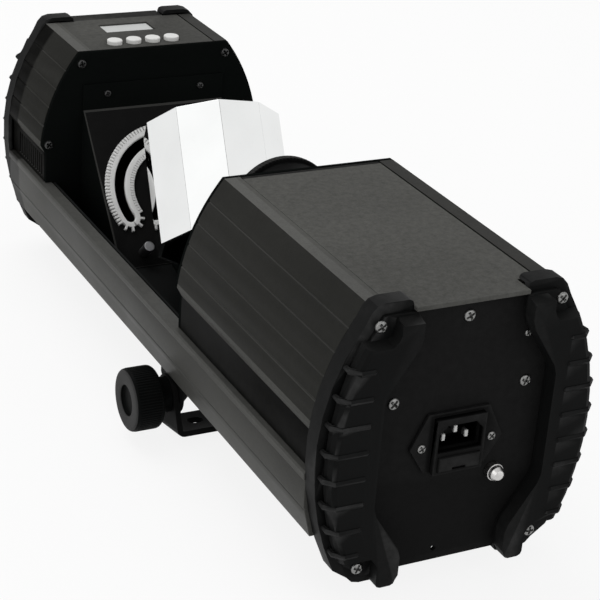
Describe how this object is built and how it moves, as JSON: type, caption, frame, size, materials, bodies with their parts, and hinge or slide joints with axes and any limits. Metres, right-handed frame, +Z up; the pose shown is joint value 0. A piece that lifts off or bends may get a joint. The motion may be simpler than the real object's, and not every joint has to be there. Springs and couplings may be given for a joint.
{
  "type": "barrel mirror spotlight",
  "caption": "Long effect spotlight with a ten sided mirror drum in an open bay between its lamp housing and its control housing, ribbed end bumpers and a hanging yoke with knobs.",
  "frame": {"origin": "middle of the hanging strap's outer face, where the clamp bolt's hole leaves it", "axes": "+X across the housing, +Y along its length from the mains inlet end to the control end, +Z up through the top covers"},
  "size_m": [0.205, 0.5196, 0.1771],
  "materials": {
    "black_moulding": "fine matt moulding",
    "black_panel": "satin black paint",
    "textured_cover": "grained black paint",
    "rail_black": "satin black on aluminium",
    "mirror_glass": "front mirror",
    "pale_rubber": "pale flexible edging",
    "bright_screw": "bright zinc",
    "white_button": "semi gloss",
    "display_pane": "clear pane over a pale display",
    "clear_lens": "polished",
    "motor_steel": "dull steel",
    "fin_metal": "as extruded",
    "board_green": "lacquered board",
    "supply_case": "matt"
  },
  "bodies": {
    "hanger": {"yoke": "black_panel"},
    "housing": {"bay_liner": "black_moulding", "bottom_tray": "black_panel", "control_board": "board_green", "control_bulkhead": "black_panel", "control_cover": "textured_cover", "control_side_left": "black_panel", "control_side_right": "black_panel", "display_window": "display_pane", "earth_nut": "bright_screw", "far_bumper_left": "black_moulding", "far_bumper_right": "black_moulding", "far_end_plate": "black_panel", "front_lens": "clear_lens", "inlet_housing": "black_moulding", "inlet_pins": "bright_screw", "lamp_bulkhead": "black_panel", "lamp_cover": "textured_cover", "lamp_module": "fin_metal", "lamp_side_left": "black_panel", "lamp_side_right": "black_panel", "left_rail": "rail_black", "lens_tube": "black_panel", "near_bumper_left": "black_moulding", "near_bumper_right": "black_moulding", "near_collar": "rail_black", "near_end_plate": "black_panel", "power_supply": "supply_case", "right_rail": "rail_black", "slope_box": "black_panel", "slot_edging_inner": "pale_rubber", "slot_edging_outer": "pale_rubber", "stop_post_left": "bright_screw", "stop_post_right": "bright_screw", "swing_motor": "motor_steel", "wheel_motor": "motor_steel", "yoke_bracket_left": "black_panel", "yoke_bracket_right": "black_panel"},
    "knob_left_body": {"knob_left": "black_moulding"},
    "knob_right_body": {"knob_right": "black_moulding"},
    "carrier": {"drum_carrier": "black_panel", "spin_motor": "motor_steel"},
    "drum": {"drum_core": "black_moulding", "mirror_facet_01": "mirror_glass", "mirror_facet_02": "mirror_glass", "mirror_facet_03": "mirror_glass", "mirror_facet_04": "mirror_glass", "mirror_facet_05": "mirror_glass", "mirror_facet_06": "mirror_glass", "mirror_facet_07": "mirror_glass", "mirror_facet_08": "mirror_glass", "mirror_facet_09": "mirror_glass", "mirror_facet_10": "mirror_glass"},
    "focus": {"focus_ring": "black_moulding"},
    "fuse": {"fuse_drawer": "black_moulding"},
    "wheel": {"pattern_wheel": "bright_screw"},
    "button_1": {"menu_button_1": "white_button"},
    "button_2": {"menu_button_2": "white_button"},
    "button_3": {"menu_button_3": "white_button"},
    "button_4": {"menu_button_4": "white_button"}
  },
  "joints": [
    {"name": "yoke_tilt", "type": "hinge", "parent": "hanger", "child": "housing", "pos_m": [0, 0.00448, 0.02307], "axis": [1, 0, 0], "range_deg": [-60, 40]},
    {"name": "knob_left_turn", "type": "hinge", "parent": "hanger", "child": "knob_left_body", "pos_m": [-0.09, 0.00448, 0.02307], "axis": [1, 0, 0], "continuous": true},
    {"name": "knob_right_turn", "type": "hinge", "parent": "hanger", "child": "knob_right_body", "pos_m": [0.09, 0.00448, 0.02307], "axis": [1, 0, 0], "continuous": true},
    {"name": "drum_swing", "type": "hinge", "parent": "housing", "child": "carrier", "pos_m": [0, 0.17685, 0.07908], "axis": [0, -0.7431, 0.6691], "range_deg": [-37.8, 52.2]},
    {"name": "drum_spin", "type": "hinge", "parent": "carrier", "child": "drum", "pos_m": [-0.00307, 0.10141, 0.11335], "axis": [0.1219, 0.6641, 0.7376], "continuous": true},
    {"name": "focus_turn", "type": "hinge", "parent": "housing", "child": "focus", "pos_m": [0, 0.01048, 0.12907], "axis": [0, 1, 0], "range_deg": [-60, 60]},
    {"name": "pattern_spin", "type": "hinge", "parent": "housing", "child": "wheel", "pos_m": [0.024, -0.06752, 0.12907], "axis": [0, 1, 0], "continuous": true},
    {"name": "fuse_pull", "type": "slide", "parent": "housing", "child": "fuse", "axis": [0, -1, 0], "range_m": [0, 0.02]},
    {"name": "button_1_press", "type": "slide", "parent": "housing", "child": "button_1", "axis": [0, 0, -1], "range_m": [0, 0.0008], "stiffness_N_per_m": 250},
    {"name": "button_2_press", "type": "slide", "parent": "housing", "child": "button_2", "axis": [0, 0, -1], "range_m": [0, 0.0008], "stiffness_N_per_m": 250},
    {"name": "button_3_press", "type": "slide", "parent": "housing", "child": "button_3", "axis": [0, 0, -1], "range_m": [0, 0.0008], "stiffness_N_per_m": 250},
    {"name": "button_4_press", "type": "slide", "parent": "housing", "child": "button_4", "axis": [0, 0, -1], "range_m": [0, 0.0008], "stiffness_N_per_m": 250}
  ]
}
